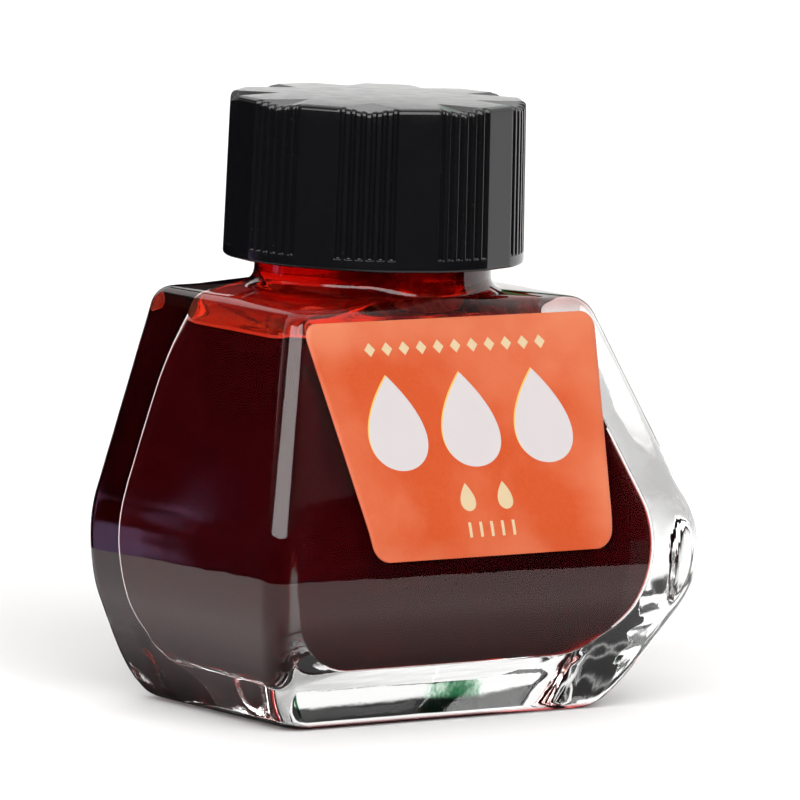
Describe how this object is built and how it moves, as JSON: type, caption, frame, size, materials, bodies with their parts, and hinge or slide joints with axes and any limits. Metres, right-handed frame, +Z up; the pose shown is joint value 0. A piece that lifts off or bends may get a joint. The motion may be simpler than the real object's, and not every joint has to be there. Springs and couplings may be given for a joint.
{
  "type": "ink bottle",
  "caption": "Small glass ink bottle with a bulging heavy-walled body, dark red ink, a plain orange paper label and a ribbed black screw cap.",
  "frame": {"origin": "on the table, under the middle of the overall footprint; the neck's axis stands 3.52 mm behind it", "axes": "+X to the bottle's left as seen from behind, which is the viewer's right when facing the label; +Y from the label towards the back; +Z up"},
  "size_m": [0.056, 0.0383, 0.0638],
  "materials": {
    "clear_glass": "polished clear glass",
    "red_ink": "dark red liquid, orange-red where thin",
    "orange_label": "coated paper, satin",
    "black_cap": "moulded, glossy",
    "foam_liner": "expanded foam, matte"
  },
  "bodies": {
    "bottle": {"glass_bottle": "clear_glass", "ink": "red_ink", "front_label": "orange_label"},
    "liner": {"cap_liner": "foam_liner"},
    "cap": {"screw_cap": "black_cap"}
  },
  "joints": [
    {"name": "cap_lift", "type": "slide", "parent": "bottle", "child": "liner", "axis": [0, 0, 1], "range_m": [0, 0.01906]},
    {"name": "cap_turn", "type": "hinge", "parent": "liner", "child": "cap", "pos_m": [0, 0.00352, 0.0467], "axis": [0, 0, 1], "range_deg": [0, 1620]}
  ],
  "couplings": [
    {"joint": "cap_lift", "follows": "cap_turn", "m_per_rad": 0.0006737}
  ]
}
